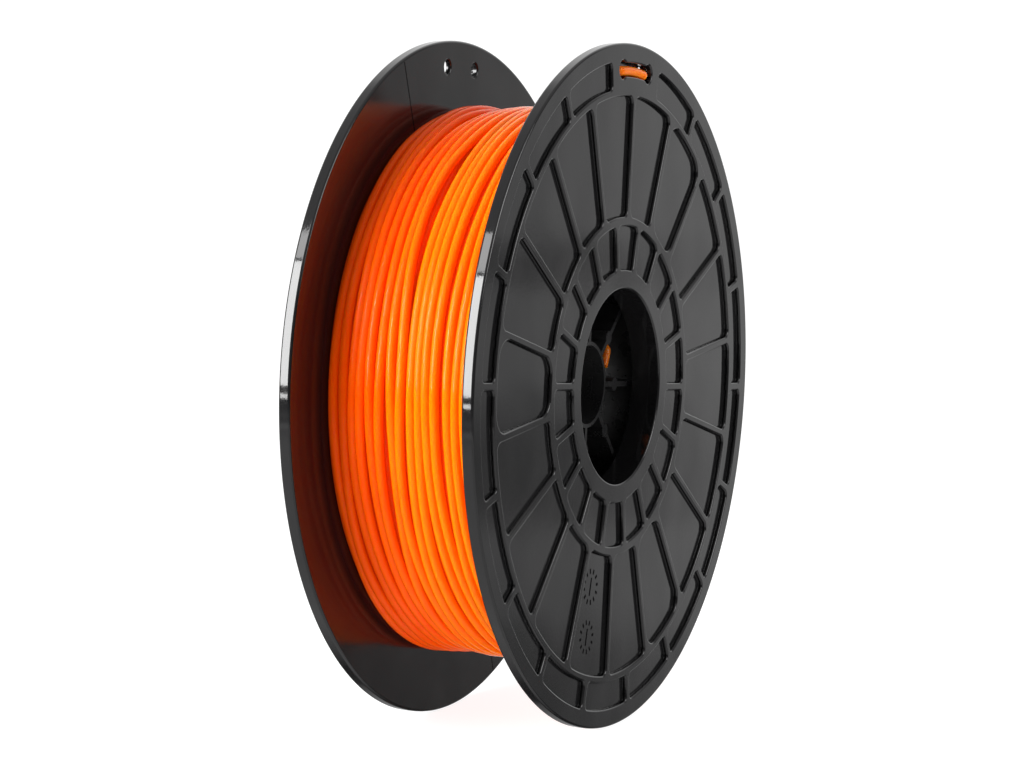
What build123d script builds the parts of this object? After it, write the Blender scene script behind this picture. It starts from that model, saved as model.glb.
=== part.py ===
from build123d import *
import math
import os

# Filament spool: two pocketed flanges, a ribbed core between them, and a full winding of filament.
# Millimetres, +Z up. The spool's axis is Y and the origin is the spool's centre. The front flange,
# which holds the filament's outer end, is at -Y. Angles are measured from +X towards +Z.

# Overall sizes
FLANGE_RADIUS = 100.0
OVERALL_WIDTH = 59.2
FLANGE_THICKNESS = 3.6
OUTER_EDGE_ROUND = 0.7
INNER_EDGE_ROUND = 0.8
BORE_RADIUS = 28.6

# Pockets in the outer face of a flange
CELL_COUNT = 18
CELL_ANGLE = 360.0 / CELL_COUNT
FRONT_CELL_ANGLE = 83.6
REAR_CELL_ANGLE = 85.0
POCKET_DEPTH = 1.25
POCKET_EDGE_ROUND = 0.55
# Each band of pockets: (inner radius, outer radius, width of the ribs between, corner radius)
RIM_BAND = (86.8, 94.6, 2.4, 1.6)
MAIN_BAND = (49.7, 84.6, 2.2, 2.3)
HUB_BAND = (34.2, 46.9, 2.3, 1.6)
WIDE_CORNER = 5.5
WIDE_CORNER_CELLS = (4, 10, 16)

# Retention slot and its two filament holes
SLOT_RADIUS = 92.3
SLOT_HALF_ANGLE = 5.7
SLOT_WIDTH = 4.0
FRONT_SLOT_DEPTH = 3.1
REAR_SLOT_DEPTH = 2.0
SLOT_LOBE_RADIUS = 2.7
FILAMENT_HOLE_RADIUS = 2.1

# Date dials in one pocket of the front flange: (distance from the axis, angle, radius)
DIALS = ((74.0, 252.6, 5.0), (59.5, 251.1, 5.3))
DIAL_TICKS = 12
DIAL_DEPTH = 0.3
# Parts of a dial, as shares of its radius
DIAL_STROKE = 0.16
DIAL_TICK_LENGTH = 0.28
DIAL_TICK_CENTRE = 0.86
DIAL_TIP_CENTRE = 0.32
DIAL_TIP_RADIUS = 0.36

# Moulding witness line across the inner face of each flange
WITNESS_ANGLE = 107.3
WITNESS_WIDTH = 0.45
WITNESS_DEPTH = 0.3

# Core
COLLAR_WALL = 2.4
COLLAR_DEPTH = 8.9
DRUM_RADIUS = 48.0
DRUM_WALL = 2.0
ARBOR_RADIUS = 12.7
ARBOR_WALL = 1.1
CORE_DEPTH = 10.6
RIB_COUNT = 8
RIB_FIRST_ANGLE = -5.8
RIB_THICKNESS = 1.5
RIB_PAD_RADIUS = 2.0
RIB_PAD_DISTANCE = 19.5
DRUM_HOLE_RADIUS = 1.8
DRUM_HOLE_LENGTH = 12.0

# Filament
FILAMENT_RADIUS = 1.425
WINDING_CLEARANCE = 0.1
WINDING_REAR_RADIUS = 78.6
WINDING_MIDDLE_RADIUS = 81.6
WINDING_FRONT_RADIUS = 81.2
OUTER_END_BEND = 2.85
OUTER_END_ARCH = 60.0
OUTER_END_TAIL = 7.0
OUTER_END_LIFT = 0.4
OUTER_END_CLEARANCE = 0.22
INNER_END_BEND = 12.0
INNER_END_TIP_BEND = 3.0
INNER_END_START = 0.8

# Derived places
HALF_WIDTH = OVERALL_WIDTH / 2
HALF_GAP = HALF_WIDTH - FLANGE_THICKNESS
CORE_HALF = HALF_WIDTH - CORE_DEPTH
DRUM_INNER = DRUM_RADIUS - DRUM_WALL
FACE_ACROSS = (1, 0, 0)


def polar(radius, angle, y=0.0):
    """A point at this distance from the spool's axis and at this angle."""
    turn = math.radians(angle)
    return (radius * math.cos(turn), y, radius * math.sin(turn))


def flat(radius, angle):
    """The same point in the plane of a face sketch."""
    turn = math.radians(angle)
    return (radius * math.cos(turn), radius * math.sin(turn))


def face_plane(y):
    """A sketch plane across the axis: sketch x is +X, sketch y is +Z, and its normal is -Y."""
    return Plane(origin=(0, y, 0), x_dir=FACE_ACROSS, z_dir=(0, -1, 0))


def ring(inner, outer, y_low, y_high):
    """A plain tube about the spool's axis."""
    section = Circle(outer) - Circle(inner)
    return extrude(face_plane(y_high) * section, amount=y_high - y_low)


def disc(radius, y_low, y_high):
    """A plain disc about the spool's axis."""
    return extrude(face_plane(y_high) * Circle(radius), amount=y_high - y_low)


def pocket_outline(band, centre_angle, corner):
    """One pocket between two straight radial ribs of even width, with rounded corners."""
    inner, outer, rib_width, _ = band
    low = centre_angle - CELL_ANGLE / 2
    high = centre_angle + CELL_ANGLE / 2
    inner_lean = math.degrees(math.asin(rib_width / 2 / inner))
    outer_lean = math.degrees(math.asin(rib_width / 2 / outer))
    inner_low = flat(inner, low + inner_lean)
    inner_high = flat(inner, high - inner_lean)
    outer_low = flat(outer, low + outer_lean)
    outer_high = flat(outer, high - outer_lean)
    outline = Wire(
        [
            ThreePointArc(inner_low, flat(inner, centre_angle), inner_high).edge(),
            Line(inner_high, outer_high).edge(),
            ThreePointArc(outer_high, flat(outer, centre_angle), outer_low).edge(),
            Line(outer_low, inner_low).edge(),
        ]
    )
    face = make_face(outline)
    return fillet(face.vertices(), corner)


def pocket_outlines():
    """Every pocket of a flange whose solid cell is centred at angle 0."""
    outlines = []
    for cell in range(CELL_COUNT):
        rim_angle = cell * CELL_ANGLE
        if cell > 0:
            outlines.append(pocket_outline(RIM_BAND, rim_angle, RIM_BAND[3]))
        outlines.append(pocket_outline(HUB_BAND, rim_angle, HUB_BAND[3]))
        main_angle = rim_angle + CELL_ANGLE / 2
        corner = WIDE_CORNER if cell in WIDE_CORNER_CELLS else MAIN_BAND[3]
        outlines.append(pocket_outline(MAIN_BAND, main_angle, corner))
    return outlines


def slot_outline():
    """The retention slot, centred at angle 0: a curved channel with a round lobe at each end."""
    inner = SLOT_RADIUS - SLOT_WIDTH / 2
    outer = SLOT_RADIUS + SLOT_WIDTH / 2
    low = -SLOT_HALF_ANGLE
    high = SLOT_HALF_ANGLE
    channel = Wire(
        [
            ThreePointArc(flat(inner, low), flat(inner, 0), flat(inner, high)).edge(),
            Line(flat(inner, high), flat(outer, high)).edge(),
            ThreePointArc(flat(outer, high), flat(outer, 0), flat(outer, low)).edge(),
            Line(flat(outer, low), flat(inner, low)).edge(),
        ]
    )
    outline = make_face(channel)
    for end in (low, high):
        outline += Pos(*flat(SLOT_RADIUS, end)) * Circle(SLOT_LOBE_RADIUS)
    return outline


def flange_blank():
    """The flat disc with its bore, outer face at y = 0 and inner face at +Y, edges rounded."""
    blank = ring(BORE_RADIUS, FLANGE_RADIUS, 0, FLANGE_THICKNESS)
    rims = blank.edges().filter_by(GeomType.CIRCLE).group_by(SortBy.RADIUS)[-1].sort_by(Axis.Y)
    blank = fillet(rims[0], OUTER_EDGE_ROUND)
    rims = blank.edges().filter_by(GeomType.CIRCLE).group_by(Axis.Y)[-1].sort_by(SortBy.RADIUS)
    return fillet(rims[-1], INNER_EDGE_ROUND)


def flange(slot_depth):
    """A flange with its solid cell centred at angle 0 and its outer face at y = 0, facing -Y."""
    outer_face = face_plane(0)
    body = flange_blank()
    cuts = [extrude(outer_face * outline, amount=-POCKET_DEPTH) for outline in pocket_outlines()]
    cuts.append(extrude(outer_face * slot_outline(), amount=-slot_depth))
    body = body - cuts
    mouths = body.edges().filter_by_position(Axis.Y, -0.001, 0.001)
    mouths = mouths.filter_by(lambda edge: not is_rim(edge))
    body = fillet(mouths, POCKET_EDGE_ROUND)
    for end in (-SLOT_HALF_ANGLE, SLOT_HALF_ANGLE):
        hole = Pos(*flat(SLOT_RADIUS, end)) * Circle(FILAMENT_HOLE_RADIUS)
        body = body - extrude(outer_face * hole, amount=-FLANGE_THICKNESS)
    return body


def is_rim(edge):
    """True for the circle where the rounded rim meets the outer face."""
    return edge.geom_type == GeomType.CIRCLE and edge.radius > RIM_BAND[1] + 2


def date_dials():
    """The cuts of the two date dials: a ring of ticks round an arrow, in a pocket's floor."""
    floor = face_plane(-HALF_WIDTH + POCKET_DEPTH + DIAL_DEPTH)
    cuts = []
    for distance, angle, radius in DIALS:
        centre = Pos(*flat(distance, angle))
        stroke = radius * DIAL_STROKE
        marks = Sketch() + Rot(Z=angle) * Rectangle(radius, stroke)
        tip = Pos(-radius * DIAL_TIP_CENTRE, 0) * RegularPolygon(radius * DIAL_TIP_RADIUS, 3, rotation=180)
        marks += Rot(Z=angle) * tip
        mark = Pos(radius * DIAL_TICK_CENTRE, 0) * Rectangle(radius * DIAL_TICK_LENGTH, stroke)
        for tick in range(DIAL_TICKS):
            turn = tick * 360.0 / DIAL_TICKS
            marks += Rot(Z=turn) * mark
        cuts.append(extrude(floor * centre * marks, amount=2 * DIAL_DEPTH))
    return cuts


def witness_line():
    """The cut of the fine line that the mould leaves across the rear face of the front flange."""
    line = Box(2 * FLANGE_RADIUS + 2, 2 * WITNESS_DEPTH, WITNESS_WIDTH)
    return Pos(0, -HALF_GAP, 0) * Rot(Y=-WITNESS_ANGLE) * line


def front_flange():
    """The flange at -Y, with the date dials."""
    placed = Pos(0, -HALF_WIDTH, 0) * Rot(Y=-FRONT_CELL_ANGLE) * flange(FRONT_SLOT_DEPTH)
    return placed - date_dials() - witness_line()


def rear_flange():
    """The flange at +Y: the mirror image, clocked a little further round, with a shallower slot."""
    placed = Pos(0, -HALF_WIDTH, 0) * Rot(Y=-REAR_CELL_ANGLE) * flange(REAR_SLOT_DEPTH)
    return mirror(placed - witness_line(), about=Plane.XZ)


def collar(side):
    """The short tube behind a flange's bore, on the side -1 (front) or +1 (rear)."""
    near = side * HALF_GAP
    far = side * (HALF_WIDTH - COLLAR_DEPTH)
    return ring(BORE_RADIUS, BORE_RADIUS + COLLAR_WALL, min(near, far), max(near, far))


# Route of the filament's inner end: from the winding through the drum wall to beside the arbor
INNER_END_ROUTE = (
    polar(DRUM_RADIUS - INNER_END_START, 20.0, 2.0),
    polar(34.0, 21.0, -3.0),
    polar(23.0, 25.0, -12.0),
    polar(18.75, 28.3, -17.6),
    polar(14.46, 16.05, -17.6),
)


def drum():
    """The tube that the filament is wound on, with the hole that the filament starts in."""
    body = ring(DRUM_INNER, DRUM_RADIUS, -HALF_GAP, HALF_GAP)
    start = Vector(*INNER_END_ROUTE[0])
    along = Vector(*INNER_END_ROUTE[1]) - start
    hole_plane = Plane(origin=start, z_dir=along)
    return body - extrude(hole_plane * Circle(DRUM_HOLE_RADIUS), amount=DRUM_HOLE_LENGTH / 2, both=True)


def arbor_tube():
    """The thin tube in the middle, which a spindle passes through."""
    return ring(ARBOR_RADIUS - ARBOR_WALL, ARBOR_RADIUS, -CORE_HALF, CORE_HALF)


def hub_rib(angle):
    """One web between the arbor tube and the drum, with the round pad that its ejector pin leaves."""
    length = DRUM_INNER
    web = Pos(length / 2, 0, 0) * Box(length + 4, 2 * CORE_HALF, RIB_THICKNESS)
    pad = Pos(RIB_PAD_DISTANCE, 0, 0) * disc(RIB_PAD_RADIUS, -CORE_HALF, CORE_HALF)
    limits = ring(ARBOR_RADIUS, DRUM_INNER, -CORE_HALF, CORE_HALF)
    return Rot(Y=-angle) * ((web + pad) & limits)


def winding():
    """The outer shape of all the turns of filament, a little smaller towards the rear flange."""
    half = HALF_GAP - WINDING_CLEARANCE
    profile = Wire(
        [
            Line((DRUM_RADIUS, -half), (WINDING_FRONT_RADIUS, -half)).edge(),
            ThreePointArc(
                (WINDING_FRONT_RADIUS, -half),
                (WINDING_MIDDLE_RADIUS, 0),
                (WINDING_REAR_RADIUS, half),
            ).edge(),
            Line((WINDING_REAR_RADIUS, half), (DRUM_RADIUS, half)).edge(),
            Line((DRUM_RADIUS, half), (DRUM_RADIUS, -half)).edge(),
        ]
    )
    return revolve(make_face(profile), axis=Axis.Y)


def strand(route, bends):
    """A round filament along straight runs joined by arcs of these radii."""
    path = FilletPolyline(*route, radius=bends)
    section = Plane(origin=path @ 0, z_dir=path % 0) * Circle(FILAMENT_RADIUS)
    return sweep(section, path=path)


def outer_end():
    """Up from the winding, out by the upper hole, along the slot and back in by the lower hole."""
    out_angle = FRONT_CELL_ANGLE + SLOT_HALF_ANGLE
    in_angle = FRONT_CELL_ANGLE - SLOT_HALF_ANGLE
    outside = -HALF_WIDTH + FRONT_SLOT_DEPTH - FILAMENT_RADIUS - OUTER_END_CLEARANCE
    inside = outside + 2 * OUTER_END_BEND + OUTER_END_CLEARANCE
    lift = WINDING_FRONT_RADIUS + FILAMENT_RADIUS + OUTER_END_LIFT
    reach = math.degrees(math.acos(lift / SLOT_RADIUS))
    route = (
        polar(lift, out_angle + reach, inside),
        polar(SLOT_RADIUS, out_angle, inside),
        polar(SLOT_RADIUS, out_angle, outside),
        polar(SLOT_RADIUS + OUTER_END_LIFT, FRONT_CELL_ANGLE, outside),
        polar(SLOT_RADIUS, in_angle, outside),
        polar(SLOT_RADIUS, in_angle, outside + OUTER_END_TAIL),
    )
    return strand(route, [OUTER_END_BEND, OUTER_END_BEND, OUTER_END_ARCH, OUTER_END_BEND])


def save(shape, node):
    """Writes one sub-part."""
    export_step(shape, f"parts/{node}.step")


os.makedirs("parts", exist_ok=True)
save(front_flange(), "front_flange")
save(rear_flange(), "rear_flange")
save(collar(-1), "front_hub_collar")
save(collar(1), "rear_hub_collar")
save(drum(), "drum")
save(arbor_tube(), "arbor_tube")
for number in range(RIB_COUNT):
    rib_angle = RIB_FIRST_ANGLE + number * 360.0 / RIB_COUNT
    save(hub_rib(rib_angle), f"hub_rib_{number + 1}")
save(winding(), "filament_winding")
save(outer_end(), "filament_outer_end")
save(strand(INNER_END_ROUTE, [INNER_END_BEND, INNER_END_BEND, INNER_END_TIP_BEND]), "filament_inner_end")
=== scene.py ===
import math

import bpy
import numpy as np
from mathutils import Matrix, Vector
from mathutils.geometry import delaunay_2d_cdt


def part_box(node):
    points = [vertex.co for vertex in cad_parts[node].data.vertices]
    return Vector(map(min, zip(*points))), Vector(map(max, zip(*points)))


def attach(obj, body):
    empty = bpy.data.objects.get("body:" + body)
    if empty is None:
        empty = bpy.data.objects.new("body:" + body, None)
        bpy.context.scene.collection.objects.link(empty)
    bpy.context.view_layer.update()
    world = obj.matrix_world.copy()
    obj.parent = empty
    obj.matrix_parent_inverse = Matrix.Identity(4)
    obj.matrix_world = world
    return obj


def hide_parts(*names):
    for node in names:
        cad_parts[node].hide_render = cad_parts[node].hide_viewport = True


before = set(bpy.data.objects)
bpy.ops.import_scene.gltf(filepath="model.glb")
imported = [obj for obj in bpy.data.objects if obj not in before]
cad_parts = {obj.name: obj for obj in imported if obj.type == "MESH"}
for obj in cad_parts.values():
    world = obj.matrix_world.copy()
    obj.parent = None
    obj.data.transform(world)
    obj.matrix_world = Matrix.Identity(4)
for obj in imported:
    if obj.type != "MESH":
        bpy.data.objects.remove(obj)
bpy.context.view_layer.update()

# Sizes, in metres. The spool's axis is Y, the front flange is at -Y, and angles run from +X towards +Z.
front_low, front_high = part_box("front_flange")
rear_low, rear_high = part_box("rear_flange")
drum_low, drum_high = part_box("drum")
FLANGE_RADIUS = front_high.z
FRONT_FACE = front_low.y
GAP_FRONT = front_high.y
GAP_REAR = rear_low.y
DRUM_RADIUS = drum_high.z
FLOOR_HEIGHT = front_low.z
FILAMENT = 0.00285

# Camera, in degrees, metres and millimetres of lens, with its shifts as shares of the sensor's width
CAMERA_AZIMUTH = -65.155
CAMERA_ELEVATION = 7.03
CAMERA_DISTANCE = 1.0562
CAMERA_LENS = 125.61
CAMERA_SHIFT = (-0.01702, -0.00258)


def direction(azimuth, elevation):
    """Unit vector from the object towards a place at this azimuth and elevation, in degrees."""
    a = math.radians(azimuth)
    e = math.radians(elevation)
    return Vector((math.sin(a) * math.cos(e), -math.cos(a) * math.cos(e), math.sin(e)))


def polar(radius, angle, y):
    """The point at this distance from the spool's axis and at this angle, in degrees."""
    turn = math.radians(angle)
    return (radius * math.cos(turn), y, radius * math.sin(turn))


def make_camera():
    """The camera, aimed at the spool's centre and shifted."""
    data = bpy.data.cameras.new("camera")
    camera = bpy.data.objects.new("camera", data)
    bpy.context.scene.collection.objects.link(camera)
    towards = direction(CAMERA_AZIMUTH, CAMERA_ELEVATION)
    camera.location = towards * CAMERA_DISTANCE
    camera.rotation_mode = "QUATERNION"
    camera.rotation_quaternion = (-towards).to_track_quat("-Z", "Y")
    data.lens = CAMERA_LENS
    data.sensor_width = 36.0
    data.shift_x, data.shift_y = CAMERA_SHIFT
    data.clip_start = 0.01
    data.clip_end = 60.0
    bpy.context.scene.camera = camera


make_camera()

# Materials. The flanges' inner faces lie in this zone, by their distance from the spool's middle.
INNER_FACE_ZONE = (0.0259, 0.0262)


class Nodes:
    """A node tree, and short ways to add nodes to it."""

    def __init__(self, owner, main):
        owner.use_nodes = True
        self.tree = owner.node_tree
        self.main = self.tree.nodes[main]

    def node(self, kind, **values):
        made = self.tree.nodes.new(kind)
        for name, value in values.items():
            setattr(made, name, value)
        return made

    def link(self, output, target):
        self.tree.links.new(output, target)

    def range(self, value, low, high, new_low, new_high, kind="LINEAR"):
        """The value's stretch from low to high, moved to new_low to new_high."""
        node = self.node("ShaderNodeMapRange", interpolation_type=kind)
        limits = {"From Min": low, "From Max": high, "To Min": new_low, "To Max": new_high}
        for name, limit in limits.items():
            node.inputs[name].default_value = limit
        self.link(value, node.inputs["Value"])
        return node.outputs["Result"]

    def ramp(self, value, stops, kind="LINEAR"):
        """A colour ramp over the value, from (position, colour) stops."""
        node = self.node("ShaderNodeValToRGB")
        node.color_ramp.interpolation = kind
        elements = node.color_ramp.elements
        while len(elements) < len(stops):
            elements.new(0.5)
        for element, (position, colour) in zip(elements, stops):
            element.position = position
            element.color = (*colour, 1)
        self.link(value, node.inputs["Fac"])
        return node.outputs["Color"]

    def grey_ramp(self, value, stops):
        """A smooth ramp from (position, brightness) stops."""
        return self.ramp(value, [(position, (level,) * 3) for position, level in stops], "EASE")

    def mix(self, kind, one, other, share=None):
        """The two colours mixed, fully or by the given share."""
        node = self.node("ShaderNodeMixRGB", blend_type=kind)
        if share is None:
            node.inputs["Fac"].default_value = 1.0
        else:
            self.link(share, node.inputs["Fac"])
        self.link(one, node.inputs["Color1"])
        self.link(other, node.inputs["Color2"])
        return node.outputs["Color"]


class Shader(Nodes):
    """A material with one Principled shader. Its coordinates are the object's own, in metres."""

    def __init__(self, name):
        self.material = bpy.data.materials.new(name)
        super().__init__(self.material, "Principled BSDF")

    def set(self, **values):
        for name, value in values.items():
            self.main.inputs[name.replace("_", " ")].default_value = value

    def drive(self, name, output):
        self.link(output, self.main.inputs[name])

    def noise(self, scale, detail=2.0, roughness=0.5):
        """Noise as an output from 0 to 1."""
        place = self.node("ShaderNodeTexCoord")
        noise = self.node("ShaderNodeTexNoise")
        noise.inputs["Scale"].default_value = scale
        noise.inputs["Detail"].default_value = detail
        noise.inputs["Roughness"].default_value = roughness
        self.link(place.outputs["Object"], noise.inputs["Vector"])
        return noise.outputs["Fac"]

    def between_flanges(self, within, beyond):
        """One amount between the flanges' inner faces, and another just beyond them."""
        place = self.node("ShaderNodeTexCoord")
        split = self.node("ShaderNodeSeparateXYZ")
        self.link(place.outputs["Object"], split.inputs["Vector"])
        out = self.node("ShaderNodeMath", operation="ABSOLUTE")
        self.link(split.outputs["Y"], out.inputs[0])
        return self.range(out.outputs[0], *INNER_FACE_ZONE, within, beyond)

    def bump(self, height, distance, below=None):
        node = self.node("ShaderNodeBump")
        node.inputs["Strength"].default_value = 1.0
        node.inputs["Distance"].default_value = distance
        self.link(height, node.inputs["Height"])
        if below is not None:
            self.link(below, node.inputs["Normal"])
        return node.outputs["Normal"]


def reel_plastic():
    """Glossy black moulded plastic, with the slight waviness of a moulding and faint handling marks. It is
    a little duller between the flanges."""
    shader = Shader("reel_plastic")
    shader.set(IOR=1.5)
    shader.drive("Specular IOR Level", shader.between_flanges(0.37, 0.5))
    stops = [(0.3, (0.006, 0.006, 0.0065)), (0.7, (0.010, 0.0097, 0.010))]
    shader.drive("Base Color", shader.ramp(shader.noise(45, 3), stops))
    gloss = shader.range(shader.noise(160, 4, 0.65), 0.3, 0.75, 0.04, 0.08)
    duller = shader.node("ShaderNodeMath", operation="ADD")
    shader.link(gloss, duller.inputs[0])
    shader.link(shader.between_flanges(0.13, 0.0), duller.inputs[1])
    shader.drive("Roughness", duller.outputs[0])
    waves = shader.bump(shader.noise(38, 1), 0.00010)
    shader.drive("Normal", shader.bump(shader.noise(1400, 2), 0.000004, waves))
    return shader.material


def core_plastic():
    """Satin black plastic of the core, with a finer grain than the flanges."""
    shader = Shader("core_plastic")
    shader.set(IOR=1.49)
    stops = [(0.3, (0.010, 0.010, 0.0105)), (0.7, (0.018, 0.0175, 0.018))]
    shader.drive("Base Color", shader.ramp(shader.noise(70, 3), stops))
    shader.drive("Roughness", shader.range(shader.noise(220, 4, 0.6), 0.3, 0.75, 0.24, 0.36))
    shader.drive("Normal", shader.bump(shader.noise(2200, 2), 0.00001))
    return shader.material


def filament_plastic(name, stops, wound=False):
    """Translucent bright orange. Wound strands get a faint painted glow that stands in for the light within
    the winding,
    and painted light and shade: yellower where they stand out to the light and redder where they lie deep."""
    shader = Shader(name)
    shader.set(IOR=1.45, Specular_IOR_Level=0.14, Subsurface_Weight=0.85, Subsurface_Scale=0.0026)
    # Wound strands get a faint painted glow in their own painted colour, though they are no lamp
    shader.set(Subsurface_Radius=(1.0, 0.5, 0.15), Emission_Strength=0.07 if wound else 0.0)
    shade = shader.noise(26, 2, 0.5)
    if wound:
        # The depth attribute carries painted light and shade, from 0 for deep to 1 for well lit, mixed with
        # the random tone
        depth = shader.node("ShaderNodeAttribute", attribute_name="depth").outputs["Fac"]
        mixed = shader.node("ShaderNodeMath", operation="MULTIPLY_ADD")
        shader.link(shade, mixed.inputs[0])
        mixed.inputs[1].default_value = 0.35
        shader.link(depth, mixed.inputs[2])
        shade = mixed.outputs[0]
    colour = shader.ramp(shade, stops)
    shader.drive("Base Color", colour)
    shader.drive("Emission Color", colour)
    shader.drive("Roughness", shader.range(shader.noise(300, 3), 0.3, 0.7, 0.035, 0.065))
    shader.drive("Normal", shader.bump(shader.noise(500, 2), 0.000008))
    return shader.material


# The orange, from painted shade, redder, where strands lie deep, to painted light, yellower, where they are
# well lit
WOUND_COLOURS = [
    (0.05, (0.60, 0.048, 0.0004)),
    (0.28, (0.78, 0.066, 0.0005)),
    (0.65, (0.92, 0.092, 0.0006)),
    (1.00, (0.95, 0.160, 0.001)),
]
LOOSE_COLOURS = [(0.3, (0.80, 0.15, 0.004)), (0.7, (0.88, 0.19, 0.006))]
# A single strand in the dark hub has no lit strands behind it, so less light comes through: it gets a darker
# copy of the orange, painted shade
IN_HUB_SHADED_COLOURS = [(0.3, (0.30, 0.075, 0.004)), (0.7, (0.36, 0.09, 0.005))]

REEL = reel_plastic()
CORE = core_plastic()
WOUND = filament_plastic("filament_wound", WOUND_COLOURS, wound=True)
LOOSE = filament_plastic("filament_loose", LOOSE_COLOURS)
IN_HUB_SHADED = filament_plastic("filament_in_hub_shaded", IN_HUB_SHADED_COLOURS)


def place(piece, material, slot, *replaced):
    """Gives a piece its material and body, and hides the CAD nodes that it stands for. The slot is not used.
    """
    piece.data.materials.clear()
    piece.data.materials.append(material)
    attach(piece, "root")
    if replaced:
        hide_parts(*replaced)


# The two loose ends of the filament. Each follows the same route as its CAD solid. The outer end leaves
# the winding, goes out by the upper hole, along the slot and back in by the lower hole.
EXIT_ANGLE = 115.2
EXIT_RADIUS = 0.0830
HOLE_RADIUS = 0.0919
UPPER_HOLE_ANGLE = 89.3
LOWER_HOLE_ANGLE = 77.9
INSIDE = -0.0224
IN_SLOT = -0.0281
OUTER_END_ROUTE = [
    polar(EXIT_RADIUS, EXIT_ANGLE, INSIDE),
    polar(0.0851, 106.5, INSIDE),
    polar(0.0889, 97.0, INSIDE),
    polar(0.0918, 90.6, -0.0226),
    polar(HOLE_RADIUS, UPPER_HOLE_ANGLE, -0.0236),
    polar(HOLE_RADIUS, UPPER_HOLE_ANGLE, IN_SLOT),
    polar(HOLE_RADIUS, 87.9, IN_SLOT),
    polar(0.0920, 85.5, IN_SLOT),
    polar(0.0920, 81.7, IN_SLOT),
    polar(HOLE_RADIUS, 79.3, IN_SLOT),
    polar(HOLE_RADIUS, LOWER_HOLE_ANGLE, IN_SLOT),
    polar(HOLE_RADIUS, LOWER_HOLE_ANGLE, -0.0240),
    polar(HOLE_RADIUS, LOWER_HOLE_ANGLE, -0.0211),
]
# The inner end comes through the drum's wall and bends aside beside the arbor tube
INNER_END_ROUTE = [
    polar(0.0472, 20.0, 0.002),
    polar(0.0406, 20.4, -0.0005),
    polar(0.0340, 21.0, -0.003),
    polar(0.0285, 22.6, -0.0075),
    polar(0.0230, 25.0, -0.012),
    polar(0.02084, 26.5, -0.0148),
    polar(0.01875, 28.3, -0.0176),
    polar(0.01651, 23.0, -0.0176),
    polar(0.01446, 16.05, -0.0176),
]


def strand_curve(name, route):
    """A round strand on a smooth curve with these control points."""
    data = bpy.data.curves.new(name, "CURVE")
    data.dimensions = "3D"
    spline = data.splines.new("NURBS")
    spline.points.add(len(route) - 1)
    for point, spot in zip(spline.points, route):
        point.co = (*spot, 1)
    spline.order_u = 3
    spline.use_endpoint_u = True
    spline.resolution_u = 12
    data.bevel_depth = FILAMENT / 2
    data.bevel_resolution = 6
    data.use_fill_caps = True
    piece = bpy.data.objects.new(name, data)
    bpy.context.scene.collection.objects.link(piece)
    return piece


outer_end = strand_curve("filament_outer_strand", OUTER_END_ROUTE)
place(outer_end, LOOSE, "filament", "filament_outer_end")
inner_end = strand_curve("filament_inner_strand", INNER_END_ROUTE)
place(inner_end, IN_HUB_SHADED, "filament", "filament_inner_end")

# The winding: a lower layer from the front flange to the rear one, and a looser upper layer back
# again, of one strand. Each turn runs straight round, and moves over to the next place near the top.
STEPS = 216  # points in a turn
SIDES = 16  # points round the strand
LOWER_TURNS = 17
LOWER_RADIUS = 0.0773
UPPER_TURNS = 17
UPPER_START = 0.0227
UPPER_SPACING = 0.00285
UPPER_WANDER = 0.00033
START_ANGLE = -10.0
STEP_ZONE = (0.60, 0.86)  # where a turn moves over, as shares of the turn
LEAD_IN = int(STEPS * (1 - STEP_ZONE[0]))
END_MARGIN = 0.00002
UNEVENNESS = 0.00006
RAMP_LENGTH = 40  # points over which the strand comes up from below at its start, and leaves at its end
START_DIP = 0.0022
# How close two strands come, as shares of the strand's width, before one rides up on the other
RIDES_UP_NEXT = 0.35
RIDES_UP_OTHER = 0.98
GAP_DECAY = 0.75  # how much of a gap's push each further turn passes on
# Gaps that open between two turns of the upper layer: (turn before the gap, angle, half of its
# length, how far each side moves away)
GAPS = (
    (3, 92.0, 40.0, 0.0010),
    (7, 130.0, 46.0, 0.0013),
    (11, 142.0, 45.0, 0.0011),
    (5, 190.0, 50.0, 0.0006),
    (9, 236.0, 50.0, 0.0007),
)
# Where the strands lie higher or lower than on an even bed: (angle, half of the stretch, place along
# the axis, spread along the axis, height)
HEAPS = (
    (88.0, 55.0, 0.0240, 0.0040, -0.0016),
    (88.0, 60.0, 0.0160, 0.0120, -0.0010),
    (91.5, 18.0, 0.0178, 0.0034, 0.0010),
    (86.0, 42.0, 0.0110, 0.0026, -0.0012),
    (86.0, 40.0, 0.0050, 0.0042, -0.0003),
    (262.0, 40.0, 0.0100, 0.0035, -0.0007),
)
# The core under the two layers
CORE_SEGMENTS = 160
CORE_BELOW = 0.0010
CORE_CLEARANCE = 0.00015
DRUM_CLEARANCE = 0.00005
GROOVE_DEPTH = 0.0009
# Painted light and shade of the colour: each layer's lightness, the lower one painted darker as it lies
# deeper, and the shares that the shaded far side and the open side get
LOWER_PAINTED_LIGHTNESS = 0.45
UPPER_PAINTED_LIGHTNESS = 1.0
FAR_SHARE = 0.35
OPEN_SHARE = 0.65
OPEN_FROM = 0.020
OPEN_LENGTH = 0.030
random = np.random.default_rng(11)


def ease(value):
    """From 0 to 1 with a smooth start and end."""
    value = np.clip(value, 0, 1)
    return value * value * (3 - 2 * value)


def ripple(turns, waves):
    """Smooth random waves round the spool, one row for each turn, from about -1 to 1."""
    angle = np.linspace(0, 2 * math.pi, STEPS, endpoint=False)
    total = np.zeros((turns, STEPS))
    for wave in waves:
        amount = random.normal(size=(turns, 2)) / math.sqrt(len(waves))
        total += amount[:, :1] * np.cos(wave * angle) + amount[:, 1:] * np.sin(wave * angle)
    return total


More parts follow.
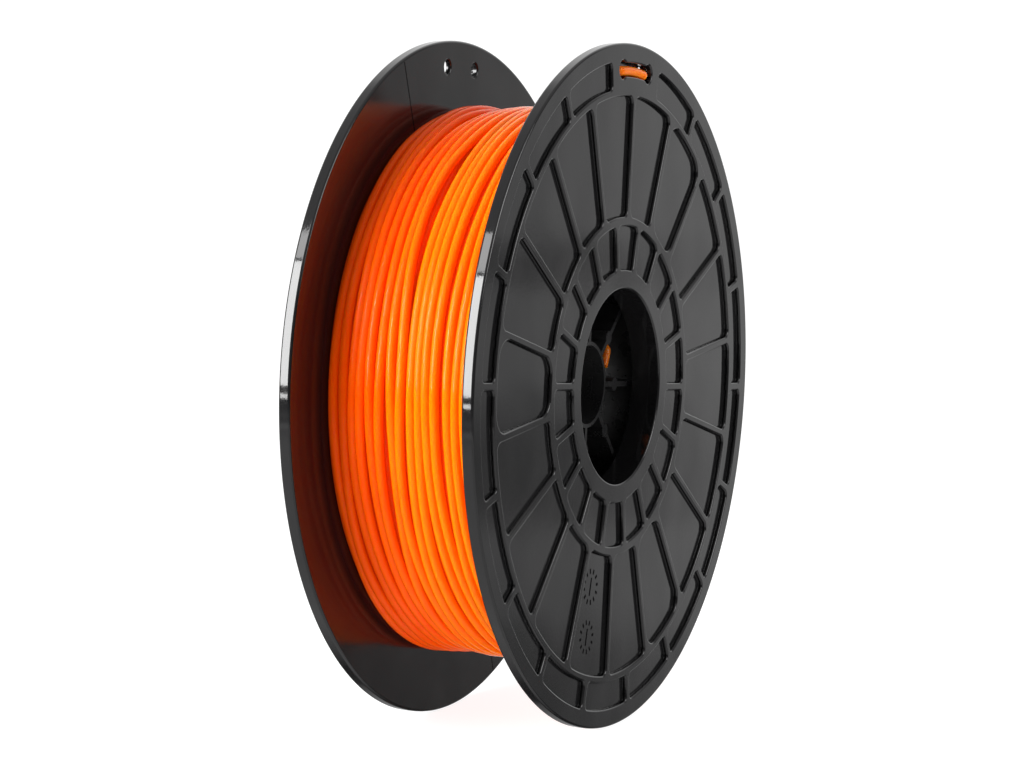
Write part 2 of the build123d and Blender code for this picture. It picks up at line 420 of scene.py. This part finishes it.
def lower_places():
    """Where the lower layer's turns lie along the axis: side by side, with small uneven gaps."""
    low = GAP_FRONT + FILAMENT / 2 + END_MARGIN
    high = GAP_REAR - FILAMENT / 2 - END_MARGIN
    loose = np.exp(0.9 * ripple(LOWER_TURNS - 1, (0, 1, 2, 3, 5)))
    spare = (high - low) - (LOWER_TURNS - 1) * FILAMENT
    gaps = loose * spare / loose.sum(axis=0)
    return np.vstack([np.full(STEPS, low), low + np.cumsum(gaps + FILAMENT, axis=0)])


def turn_share():
    """How far round its turn each point is."""
    return np.arange(STEPS) / STEPS


def step_share(delay):
    """How far along its move to the next place a turn is."""
    start, end = STEP_ZONE
    return ease((turn_share() - start - delay) / (end - start - 0.04))


def lower_layer(places):
    """The lower layer's turns, with the part turn that leads into the first one. The last turn climbs
    to the start of the upper layer."""
    turns = [places[0][-LEAD_IN:]]
    after = [*places[1:], np.full(STEPS, UPPER_START)]
    for here, following in zip(places, after):
        share = step_share(random.uniform(-0.015, 0.015))
        turns.append(here * (1 - share) + following * share)
    return np.concatenate(turns)


def gap_shift(turn):
    """How far the gaps push this turn of the upper layer along the axis."""
    angle = (START_ANGLE - 360 * turn_share()) % 360
    shift = np.zeros(STEPS)
    for before, centre, half, amount in GAPS:
        window = ease(1 - np.abs(angle - centre) / half)
        if turn <= before:
            shift += amount * window * GAP_DECAY ** (before - turn)
        else:
            shift -= amount * window * GAP_DECAY ** (turn - before - 1)
    return shift


def upper_layer():
    """The upper layer's turns lie loosely side by side, back towards the front flange."""
    nearest = GAP_FRONT + FILAMENT / 2 + END_MARGIN
    wander = UPPER_WANDER * ripple(UPPER_TURNS, (1, 2, 3, 4, 6))
    turns = []
    for turn in range(UPPER_TURNS):
        share = step_share(random.uniform(-0.02, 0.01))
        here = UPPER_START - UPPER_SPACING * (turn + share) + wander[turn] + gap_shift(turn)
        turns.append(np.clip(here, nearest, -nearest))
    return smoothed(np.concatenate(turns), 5)


def heaped(places, angle):
    """How much higher than an even bed the strand lies at these places and angles."""
    lift = np.zeros(len(places))
    for centre, half, middle, spread, height in HEAPS:
        window = ease(1 - np.abs(angle % 360 - centre) / half)
        lift += height * window * np.exp(-(((places - middle) / spread) ** 2))
    return lift


def smoothed(values, width):
    """A running average, weighted towards the middle."""
    weights = np.hanning(2 * width + 3)[1:-1]
    padded = np.pad(values, width, mode="edge")
    return np.convolve(padded, weights / weights.sum(), mode="valid")


def rest_on_below(places):
    """The radius at which each stretch of the strand rests on the turns that were laid before it."""
    count = len(places)
    radius = np.full(count, LOWER_RADIUS)
    for _ in range(3):
        for begin in range(STEPS, count, STEPS):
            end = min(begin + STEPS, count)
            support = np.full(end - begin, LOWER_RADIUS)
            for earlier in range(0, begin, STEPS):
                other = slice(earlier, earlier + end - begin)
                apart = np.abs(places[begin:end] - places[other])
                reach = np.sqrt(np.clip(FILAMENT**2 - apart**2, 0, None))
                nearness = RIDES_UP_NEXT if begin - earlier == STEPS else RIDES_UP_OTHER
                touching = apart < FILAMENT * nearness
                support = np.where(touching, np.maximum(support, radius[other] + reach), support)
            radius[begin:end] = support
        radius = smoothed(radius, 7)
    return radius


def tube_mesh(name, points, ups, lightness):
    """A closed round tube along the points, with ups as the directions away from the spool's axis. Its
    painted light and shade, from 0 for deep to 1 for well lit, is stored for the colour."""
    along = np.gradient(points, axis=0)
    along /= np.linalg.norm(along, axis=1)[:, None]
    side = np.cross(along, ups)
    side /= np.linalg.norm(side, axis=1)[:, None]
    up = np.cross(side, along)
    turn = np.linspace(0, 2 * math.pi, SIDES, endpoint=False)
    across = np.cos(turn)[None, :, None] * side[:, None] + np.sin(turn)[None, :, None] * up[:, None]
    vertices = (points[:, None] + across * FILAMENT / 2).reshape(-1, 3)
    rows = np.arange(len(points) - 1)[:, None] * SIDES
    here = np.arange(SIDES)[None]
    after = (here + 1) % SIDES
    faces = np.stack([rows + here, rows + after, rows + SIDES + after, rows + SIDES + here], axis=2)
    mesh = bpy.data.meshes.new(name)
    last = (len(points) - 1) * SIDES
    caps = [list(range(SIDES))[::-1], list(range(last, last + SIDES))]
    mesh.from_pydata(vertices.tolist(), [], faces.reshape(-1, 4).tolist() + caps)
    mesh.shade_smooth()
    depth = mesh.attributes.new("depth", "FLOAT", "POINT")
    # Painted shade: each strand is darker on its side towards the spool's axis than on its outer side
    shade = lightness[:, None] * (0.78 + 0.22 * np.sin(turn))[None]
    depth.data.foreach_set("value", shade.ravel().astype(np.float32))
    return mesh


def add_piece(name, mesh):
    """A new object with this mesh."""
    piece = bpy.data.objects.new(name, mesh)
    bpy.context.scene.collection.objects.link(piece)
    return piece


def wind():
    """Both layers as points and outward directions along the whole strand."""
    along = np.concatenate([lower_layer(lower_places()), upper_layer()])
    radius = rest_on_below(along)
    radius = radius + UNEVENNESS * np.resize(ripple(1, (2, 3, 5))[0], len(radius))
    turns = LOWER_TURNS + UPPER_TURNS - 1 + (START_ANGLE + 360 - EXIT_ANGLE) / 360
    count = LEAD_IN + math.ceil(turns * STEPS) + 1
    along, radius = along[:count], radius[:count]
    angle = START_ANGLE - 360 * (np.arange(count) - LEAD_IN) / STEPS
    radius = radius + heaped(along, angle)
    rise = ease((np.arange(count) - (count - RAMP_LENGTH)) / RAMP_LENGTH)
    along = along * (1 - rise) + OUTER_END_ROUTE[0][1] * rise
    radius = radius * (1 - rise) + EXIT_RADIUS * rise
    radius = radius - START_DIP * (1 - ease(np.arange(count) / RAMP_LENGTH))
    turn = np.radians(angle)
    ups = np.stack([np.cos(turn), np.zeros(count), np.sin(turn)], axis=1)
    points = ups * radius[:, None]
    points[:, 1] = along
    return points, ups


def wound_piece(name, points, ups, lightness):
    """One layer of the winding, painted lighter towards the front flange, where more light reaches it."""
    open_side = ease((OPEN_FROM - points[:, 1]) / OPEN_LENGTH)
    mesh = tube_mesh(name, points, ups, lightness * (FAR_SHARE + OPEN_SHARE * open_side))
    return add_piece(name, mesh)


def winding_core():
    """What lies under the two layers: the turns below as a grooved ring on the drum."""
    crest = LOWER_RADIUS - CORE_BELOW
    half = GAP_REAR - CORE_CLEARANCE
    lines = 6 * LOWER_TURNS
    profile = [(DRUM_RADIUS + DRUM_CLEARANCE, -half)]
    for line in range(lines + 1):
        share = line / lines
        groove = GROOVE_DEPTH * (1 - abs(math.sin(math.pi * share * LOWER_TURNS)))
        profile.append((crest - groove, -half + 2 * half * share))
    profile.append((DRUM_RADIUS + DRUM_CLEARANCE, half))
    size = len(profile)
    vertices = []
    faces = []
    for segment in range(CORE_SEGMENTS):
        turn = 2 * math.pi * segment / CORE_SEGMENTS
        vertices += [(r * math.cos(turn), y, r * math.sin(turn)) for r, y in profile]
        here = segment * size
        after = (segment + 1) % CORE_SEGMENTS * size
        for row in range(size):
            following = (row + 1) % size
            faces.append((here + row, here + following, after + following, after + row))
    mesh = bpy.data.meshes.new("winding_core")
    mesh.from_pydata(vertices, [], faces)
    mesh.shade_smooth()
    # Painted shade: the depth attribute is 0 all over, so the core takes the deep, dark end of the colours
    depth = mesh.attributes.new("depth", "FLOAT", "POINT")
    depth.data.foreach_set("value", np.zeros(len(vertices), dtype=np.float32))
    return add_piece("winding_core", mesh)


strand_points, strand_ups = wind()
layers_meet = LEAD_IN + LOWER_TURNS * STEPS
lower_part = slice(0, layers_meet + 1)
upper_part = slice(layers_meet, None)
lower_piece = wound_piece(
    "winding_lower_layer", strand_points[lower_part], strand_ups[lower_part], LOWER_PAINTED_LIGHTNESS
)
upper_piece = wound_piece(
    "winding_upper_layer", strand_points[upper_part], strand_ups[upper_part], UPPER_PAINTED_LIGHTNESS
)
core_piece = winding_core()
for piece in (lower_piece, upper_piece, core_piece):
    place(piece, WOUND, "filament", "filament_winding")

# The flanges. Each is built round its outer face: a point has a place across that face and a depth
# from it towards the winding.
THICKNESS = GAP_FRONT - FRONT_FACE
OUTER_EDGE_ROUND = 0.0007
INNER_EDGE_ROUND = 0.0008
BORE_RADIUS = 0.0286
CELLS = 18
CELL_ANGLE = 360 / CELLS
FRONT_CELL_ANGLE = 83.6
REAR_CELL_ANGLE = 85.0
POCKET_DEPTH = 0.00125
POCKET_EDGE_ROUND = 0.00055
FLOOR_EDGE_ROUND = 0.00012
RIM_BAND = (0.0868, 0.0946, 0.0024, 0.0016)
MAIN_BAND = (0.0497, 0.0846, 0.0022, 0.0023)
HUB_BAND = (0.0342, 0.0469, 0.0023, 0.0016)
WIDE_CORNER = 0.0055
WIDE_CORNER_CELLS = (4, 10, 16)
SLOT_RADIUS = 0.0923
SLOT_HALF_ANGLE = 5.7
SLOT_HALF_WIDTH = 0.0020
SLOT_LOBE_RADIUS = 0.0027
FRONT_SLOT_DEPTH = 0.0031
REAR_SLOT_DEPTH = 0.0020
FILAMENT_HOLE_RADIUS = 0.0021
DIALS = ((0.0740, 252.6, 0.0050), (0.0595, 251.1, 0.0053))
DIAL_TICKS = 12
DIAL_DEPTH = 0.0003
# Parts of a dial, as shares of its radius
DIAL_STROKE = 0.16
DIAL_TICK_LENGTH = 0.28
DIAL_TICK_CENTRE = 0.86
WITNESS_ANGLE = 107.3
WITNESS_WIDTH = 0.00045
WITNESS_DEPTH = 0.0003
WITNESS_ENDS = (0.0335, 0.0991)
FINE = 0.0012  # the usual distance between points along an arc


def arc(centre, radius, start, end, step=FINE):
    """Points and outward directions along an arc, angles in degrees, without its last point."""
    count = max(7, int(abs(math.radians(end - start)) * abs(radius) / step))
    angles = np.radians(np.linspace(start, end, count, endpoint=False))
    ways = np.stack([np.cos(angles), np.sin(angles)], axis=1)
    return np.array(centre) + ways * radius, ways


def pocket_outline(band, middle, corner):
    """A pocket between two ribs of even width: points, and directions out of the pocket."""
    inner, outer, rib_width, _ = band
    low = middle - CELL_ANGLE / 2
    high = middle + CELL_ANGLE / 2
    aside = rib_width / 2 + corner
    far = math.sqrt((outer - corner) ** 2 - aside**2)
    near = math.sqrt((inner + corner) ** 2 - aside**2)
    far_lean = math.degrees(math.atan2(aside, far))
    near_lean = math.degrees(math.atan2(aside, near))

    def centre(distance, lean, ray, side):
        reach = math.hypot(distance, aside)
        angle = math.radians(ray + side * lean)
        return (reach * math.cos(angle), reach * math.sin(angle))

    parts = [
        arc(centre(far, far_lean, low, 1), corner, low - 90, low + far_lean),
        arc((0, 0), outer, low + far_lean, high - far_lean),
        arc(centre(far, far_lean, high, -1), corner, high - far_lean, high + 90),
        arc(centre(near, near_lean, high, -1), corner, high + 90, high - near_lean + 180),
    ]
    points, ways = arc((0, 0), inner, high - near_lean, low + near_lean)
    parts.append((points, -ways))
    parts.append(arc(centre(near, near_lean, low, 1), corner, low + near_lean + 180, low + 270))
    points = np.concatenate([part[0] for part in parts])
    ways = np.concatenate([part[1] for part in parts])
    return points, ways


def outward(points):
    """Directions out of a closed outline that runs counter-clockwise."""
    along = np.roll(points, -1, axis=0) - np.roll(points, 1, axis=0)
    ways = np.stack([along[:, 1], -along[:, 0]], axis=1)
    return ways / np.linalg.norm(ways, axis=1)[:, None]


def slot_outline(middle):
    """The retention slot: a curved channel with a round lobe at each end."""
    half = math.radians(SLOT_HALF_ANGLE) * SLOT_RADIUS
    turn = math.degrees(math.asin(SLOT_HALF_WIDTH / SLOT_LOBE_RADIUS))
    right = arc((half, 0), SLOT_LOBE_RADIUS, turn - 180, 180 - turn, 0.0002)[0]
    left = arc((-half, 0), SLOT_LOBE_RADIUS, turn, 360 - turn, 0.0002)[0]
    reach = half - math.sqrt(SLOT_LOBE_RADIUS**2 - SLOT_HALF_WIDTH**2)
    line = np.linspace(reach, -reach, 60)[1:-1]
    top = np.stack([line, np.full(len(line), SLOT_HALF_WIDTH)], axis=1)
    flat = np.concatenate([right, top, left, -top])
    for _ in range(6):
        flat = (np.roll(flat, 1, axis=0) + 2 * flat + np.roll(flat, -1, axis=0)) / 4
    angles = math.radians(middle) - flat[:, 0] / SLOT_RADIUS
    radii = SLOT_RADIUS + flat[:, 1]
    points = np.stack([radii * np.cos(angles), radii * np.sin(angles)], axis=1)
    return points, outward(points)


def circle(radius, centre=(0, 0), count=360):
    """A whole circle with this many points."""
    return arc(centre, radius, 0, 360, 2 * math.pi * radius / count * 1.0001)


def bar(centre, angle, length, width):
    """A narrow rectangle, counter-clockwise."""
    turn = math.radians(angle)
    ahead = np.array([math.cos(turn), math.sin(turn)]) * length / 2
    beside = np.array([-math.sin(turn), math.cos(turn)]) * width / 2
    signs = ((-1, -1), (1, -1), (1, 1), (-1, 1))
    points = np.array([centre + ahead * forth + beside * across for forth, across in signs])
    return points, outward(points)


class Moulding:
    """A flange's mesh, made of rings of points joined by bands and filled flat stretches."""

    def __init__(self, face, side):
        self.face = face
        self.side = side
        self.points = []
        self.faces = []
        self.normals = []

    def world(self, across, depth):
        """Places or directions across the face as points in space."""
        spots = np.stack([across[:, 0], np.full(len(across), depth), across[:, 1]], axis=1)
        return spots * (1, self.side, 1)

    def ring(self, across, depth):
        """Adds a ring of points and returns their numbers."""
        first = len(self.points)
        spots = self.world(across, depth)
        spots[:, 1] += self.face
        self.points.extend(spots.tolist())
        return np.arange(first, first + len(across))

    def add(self, corners, normals):
        """Adds faces, each turned so that it faces the way its normals point."""
        places = np.array(self.points)
        a, b, c = (places[corners[:, k]] for k in range(3))
        facing = np.cross(b - a, c - a)
        turned = (facing * normals.sum(axis=1)).sum(axis=1) < 0
        corners[turned] = corners[turned][:, ::-1]
        normals[turned] = normals[turned][:, ::-1]
        self.faces.extend(corners.tolist())
        self.normals.extend(normals.reshape(-1, 3).tolist())

    def band(self, one, one_ways, other, other_ways):
        """Joins two rings of as many points, given with the directions they face."""
        corners = np.stack([one, np.roll(one, -1), np.roll(other, -1), other], axis=1)
        normals = np.stack(
            [one_ways, np.roll(one_ways, -1, axis=0), np.roll(other_ways, -1, axis=0), other_ways], axis=1
        )
        self.add(corners, normals)

    def fill(self, outer, holes, facing):
        """Fills the flat stretch inside one ring and outside the others."""
        rings = [outer, *holes]
        order = np.concatenate(rings)
        places = np.array(self.points)[order]
        flat = [Vector((x, z)) for x, _, z in places.tolist()]
        loops, first = [], 0
        for ring in rings:
            loops.append(list(range(first, first + len(ring))))
            first += len(ring)
        _, _, triangles, origins, _, owners = delaunay_2d_cdt(flat, [], loops, 1, 1e-9, True)
        kept = [
            [order[origins[k][0]] for k in triangle]
            for triangle, owner in zip(triangles, owners)
            if set(owner) == {0}
        ]
        corners = np.array(kept)
        normals = np.tile(np.array([0.0, facing * self.side, 0.0]), (len(corners), 3, 1))
        self.add(corners, normals)

    def edge(self, outline, centre_offset, centre_depth, radius, start, end, steps=4):
        """Rings round a rounded edge. The angle runs from 0, facing out of the outer face, to 90, facing
        along the outline's own direction. Returns the first and the last ring with their directions."""
        across, ways = outline
        rings = []
        for angle in np.radians(np.linspace(start, end, steps)):
            offset = centre_offset + radius * math.sin(angle)
            depth = centre_depth - radius * math.cos(angle)
            ring = self.ring(across + ways * offset, depth)
            sign = 1 if radius > 0 else -1
            facing = self.world(ways * math.sin(angle) * sign, -math.cos(angle) * sign)
            rings.append((ring, facing))
        for one, other in zip(rings, rings[1:]):
            self.band(*one, *other)
        return rings[0], rings[-1]

    def mesh(self, name):
        """The finished mesh, shaded by the directions that were given."""
        mesh = bpy.data.meshes.new(name)
        mesh.from_pydata(self.points, [], self.faces)
        mesh.shade_smooth()
        mesh.normals_split_custom_set(self.normals)
        return mesh


def flipped(outline):
    """The same outline with its directions turned into the pocket."""
    return outline[0], -outline[1]


def sink(moulding, outline, depth, holes=()):
    """A pocket with a rounded mouth and a flat floor. Returns its mouth's ring."""
    wall = flipped(outline)
    mouth, top = moulding.edge(wall, -POCKET_EDGE_ROUND, POCKET_EDGE_ROUND, POCKET_EDGE_ROUND, 0, 90)
    bend, floor = moulding.edge(
        wall, FLOOR_EDGE_ROUND, depth - FLOOR_EDGE_ROUND, -FLOOR_EDGE_ROUND, 90, 0, 3
    )
    moulding.band(*top, *bend)
    moulding.fill(floor[0], holes, -1)
    return mouth[0]


def engrave(moulding, outline, level, depth, facing):
    """A mark with plain walls, cut from this level to that depth. Returns its mouth's ring."""
    across, ways = outline
    mouth = moulding.ring(across, level)
    floor = moulding.ring(across, depth)
    corners = np.stack([mouth, np.roll(mouth, -1), np.roll(floor, -1), floor], axis=1)
    along = np.roll(across, -1, axis=0) - across
    inward = moulding.world(np.stack([-along[:, 1], along[:, 0]], axis=1), 0.0)
    inward /= np.linalg.norm(inward, axis=1)[:, None]
    moulding.add(corners, np.repeat(inward[:, None], 4, axis=1))
    moulding.fill(floor, (), facing)
    return mouth


def dial_marks(moulding, distance, angle, radius):
    """A ring of ticks round a pointer."""
    turn = math.radians(angle)
    middle = np.array([distance * math.cos(turn), distance * math.sin(turn)])
    marks = []
    for tick in range(DIAL_TICKS):
        way = math.radians(tick * 360 / DIAL_TICKS)
        spot = middle + DIAL_TICK_CENTRE * radius * np.array([math.cos(way), math.sin(way)])
        marks.append(bar(spot, math.degrees(way), DIAL_TICK_LENGTH * radius, DIAL_STROKE * radius))
    marks.append(bar(middle, angle, radius, DIAL_STROKE * radius))
    return [engrave(moulding, mark, POCKET_DEPTH, POCKET_DEPTH + DIAL_DEPTH, -1) for mark in marks]


def flange_edges(moulding):
    """The rim and the bore. Returns the rings round the outer face, the inner face and the bore's ends."""
    rim = circle(FLANGE_RADIUS)
    outer_face, rim_top = moulding.edge(rim, -OUTER_EDGE_ROUND, OUTER_EDGE_ROUND, OUTER_EDGE_ROUND, 0, 90, 6)
    rim_bottom, inner_face = moulding.edge(
        rim, -INNER_EDGE_ROUND, THICKNESS - INNER_EDGE_ROUND, INNER_EDGE_ROUND, 90, 180, 6
    )
    moulding.band(*rim_top, *rim_bottom)
    bore = flipped(circle(BORE_RADIUS, count=240))
    bore_mouth, bore_top = moulding.edge(
        bore, -POCKET_EDGE_ROUND, POCKET_EDGE_ROUND, POCKET_EDGE_ROUND, 0, 90
    )
    bore_end = moulding.ring(bore[0], THICKNESS)
    moulding.band(*bore_top, bore_end, bore_top[1])
    return outer_face[0], inner_face[0], bore_mouth[0], bore_end


def pockets(moulding, cell_angle, dials):
    """All the pockets, with the dials in theirs. The slot takes the place of the first rim pocket. Returns
    the pockets' mouths."""
    mouths = []
    for cell in range(CELLS):
        angle = cell_angle + cell * CELL_ANGLE
        if cell > 0:
            mouths.append(sink(moulding, pocket_outline(RIM_BAND, angle, RIM_BAND[3]), POCKET_DEPTH))
        mouths.append(sink(moulding, pocket_outline(HUB_BAND, angle, HUB_BAND[3]), POCKET_DEPTH))
        middle = angle + CELL_ANGLE / 2
        corner = WIDE_CORNER if cell in WIDE_CORNER_CELLS else MAIN_BAND[3]
        marks = []
        for distance, dial_angle, radius in dials:
            if abs((dial_angle - middle + 180) % 360 - 180) < CELL_ANGLE / 2:
                marks += dial_marks(moulding, distance, dial_angle, radius)
        mouths.append(sink(moulding, pocket_outline(MAIN_BAND, middle, corner), POCKET_DEPTH, marks))
    return mouths


def retention_slot(moulding, cell_angle, slot_depth):
    """The slot with its two filament holes. Returns its mouth and the holes' rings on the inner face."""
    floor_holes = []
    back_holes = []
    for lean in (-SLOT_HALF_ANGLE, SLOT_HALF_ANGLE):
        turn = math.radians(cell_angle + lean)
        centre = (SLOT_RADIUS * math.cos(turn), SLOT_RADIUS * math.sin(turn))
        hole = flipped(circle(FILAMENT_HOLE_RADIUS, centre, 48))
        top = moulding.ring(hole[0], slot_depth)
        facing = moulding.world(hole[1], 0.0)
        start, back = moulding.edge(
            hole, -POCKET_EDGE_ROUND, THICKNESS - POCKET_EDGE_ROUND, POCKET_EDGE_ROUND, 90, 180
        )
        moulding.band(top, facing, *start)
        floor_holes.append(top)
        back_holes.append(back[0])
    return sink(moulding, slot_outline(cell_angle), slot_depth, floor_holes), back_holes


def witness_lines(moulding):
    """The fine line that the mould leaves across the inner face, one part on each side of the bore."""
    near, far = WITNESS_ENDS
    mouths = []
    for angle in (WITNESS_ANGLE, WITNESS_ANGLE + 180):
        turn = math.radians(angle)
        centre = np.array([math.cos(turn), math.sin(turn)]) * (near + far) / 2
        line = bar(centre, angle, far - near, WITNESS_WIDTH)
        mouths.append(engrave(moulding, line, THICKNESS, THICKNESS - WITNESS_DEPTH, 1))
    return mouths


def flange_piece(name, face, side, cell_angle, slot_depth, dials):
    """A whole flange, with its outer face at this place on the axis and its pockets turned to this angle."""
    moulding = Moulding(face, side)
    outer_face, inner_face, bore_mouth, bore_end = flange_edges(moulding)
    mouths = pockets(moulding, cell_angle, dials)
    slot_mouth, back_holes = retention_slot(moulding, cell_angle, slot_depth)
    moulding.fill(outer_face, [bore_mouth, *mouths, slot_mouth], -1)
    moulding.fill(inner_face, [bore_end, *back_holes, *witness_lines(moulding)], 1)
    return add_piece(name, moulding.mesh(name))


front_piece = flange_piece(
    "front_flange_moulding", FRONT_FACE, 1, FRONT_CELL_ANGLE, FRONT_SLOT_DEPTH, DIALS
)
rear_piece = flange_piece(
    "rear_flange_moulding", rear_high.y, -1, REAR_CELL_ANGLE, REAR_SLOT_DEPTH, ()
)
place(front_piece, REEL, "reel_plastic", "front_flange")
place(rear_piece, REEL, "reel_plastic", "rear_flange")

# CAD nodes that are shown as they are
for name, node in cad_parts.items():
    if name.startswith("filament") or name.endswith("flange"):
        continue
    material = REEL if "collar" in name else CORE
    for slot in node.material_slots:
        slot.material = material
    if not node.material_slots:
        node.data.materials.append(material)

# Studio
FLOOR_RADIUS = 40.0
FLOOR_SEGMENTS = 96
BACKDROP = (0.907, 0.42, 0.0)  # the level direction in which the studio is brightest


def area_light(name, azimuth, elevation, distance, size, power):
    """A rectangular light at this place round the spool, aimed at its centre."""
    data = bpy.data.lights.new(name, "AREA")
    data.shape = "RECTANGLE"
    data.size, data.size_y = size
    data.energy = power
    light = bpy.data.objects.new(name, data)
    bpy.context.scene.collection.objects.link(light)
    towards = direction(azimuth, elevation)
    light.location = towards * distance
    light.rotation_mode = "QUATERNION"
    light.rotation_quaternion = (-towards).to_track_quat("-Z", "Y")


def make_floor():
    """A large pale disc under the spool, kept out of the plastic's reflections, which the studio's own
    light and dark give."""
    vertices = [(0, 0, FLOOR_HEIGHT)]
    for segment in range(FLOOR_SEGMENTS):
        turn = 2 * math.pi * segment / FLOOR_SEGMENTS
        vertices.append((FLOOR_RADIUS * math.cos(turn), FLOOR_RADIUS * math.sin(turn), FLOOR_HEIGHT))
    faces = [(0, 1 + segment, 1 + (segment + 1) % FLOOR_SEGMENTS) for segment in range(FLOOR_SEGMENTS)]
    mesh = bpy.data.meshes.new("floor")
    mesh.from_pydata(vertices, [], faces)
    floor = add_piece("floor", mesh)
    shader = Shader("floor")
    shader.set(Roughness=0.9, Specular_IOR_Level=0.1)
    shader.set(Emission_Color=(1, 1, 1, 1), Emission_Strength=0.90)
    stops = [(0.3, (0.28, 0.28, 0.28)), (0.7, (0.30, 0.30, 0.30))]
    shader.drive("Base Color", shader.ramp(shader.noise(9, 2), stops))
    mesh.materials.append(shader.material)
    floor.visible_glossy = False


def make_world():
    """A studio that is bright behind the spool and overhead, and dimmer on the camera's side."""
    world = bpy.data.worlds.new("studio")
    bpy.context.scene.world = world
    studio = Nodes(world, "Background")
    way = studio.node("ShaderNodeTexCoord").outputs["Generated"]
    dot = studio.node("ShaderNodeVectorMath", operation="DOT_PRODUCT")
    dot.inputs[1].default_value = BACKDROP
    studio.link(way, dot.inputs[0])
    towards = dot.outputs["Value"]
    split = studio.node("ShaderNodeSeparateXYZ")
    studio.link(way, split.inputs["Vector"])
    height = split.outputs["Z"]

    # Brighter and brighter towards the backdrop, dimmer again low down, and a little lighter overhead
    stops = [(0.0, 0.08), (0.55, 0.12), (0.79, 0.22), (0.812, 0.40), (0.845, 0.70), (0.93, 1.1)]
    round_about = studio.grey_ramp(studio.range(towards, -1, 1, 0, 1), stops)
    low = studio.range(height, -0.22, -0.45, 1.0, 0.3, "SMOOTHSTEP")
    overhead = studio.range(height, 0.05, 0.8, 0.0, 0.35, "SMOOTHSTEP")
    total = studio.mix("ADD", studio.mix("MULTIPLY", round_about, low), overhead)

    # On the camera's side, the bright floor that the rims reflect
    below = studio.range(height, -0.04, -0.30, 0.0, 1.8, "SMOOTHSTEP")
    camera_side = studio.range(towards, 0.5, 0.1, 0.0, 1.0)
    total = studio.mix("LIGHTEN", total, below, camera_side)

    # Darker bands across the part that the front face's left side reflects
    stops = [
        (0.25, 0.42), (0.295, 0.85), (0.335, 0.90), (0.358, 0.45), (0.395, 0.42), (0.425, 0.62), (0.45, 1.0),
        (0.505, 1.0), (0.515, 0.50), (0.535, 0.45), (0.55, 1.0),
    ]
    bands = studio.grey_ramp(studio.range(height, -0.30, 0.10, 0.0, 1.0), stops)
    left_side = studio.range(towards, 0.635, 0.70, 1.0, 0.0, "SMOOTHSTEP")
    total = studio.mix("MULTIPLY", total, bands, left_side)
    studio.link(total, studio.main.inputs["Color"])


make_world()
make_floor()
area_light("tall_softbox", -123.0, 19.0, 1.0, (0.46, 0.62), 15.5)
area_light("upper_softbox", -118.0, 43.0, 1.0, (0.30, 0.20), 1.4)
area_light("low_strip", -115.0, -1.0, 1.0, (0.30, 0.02), 0.3)
area_light("side_softbox", 12.0, 25.0, 1.2, (0.6, 0.6), 6.0)
bpy.context.scene.view_settings.view_transform = "Standard"
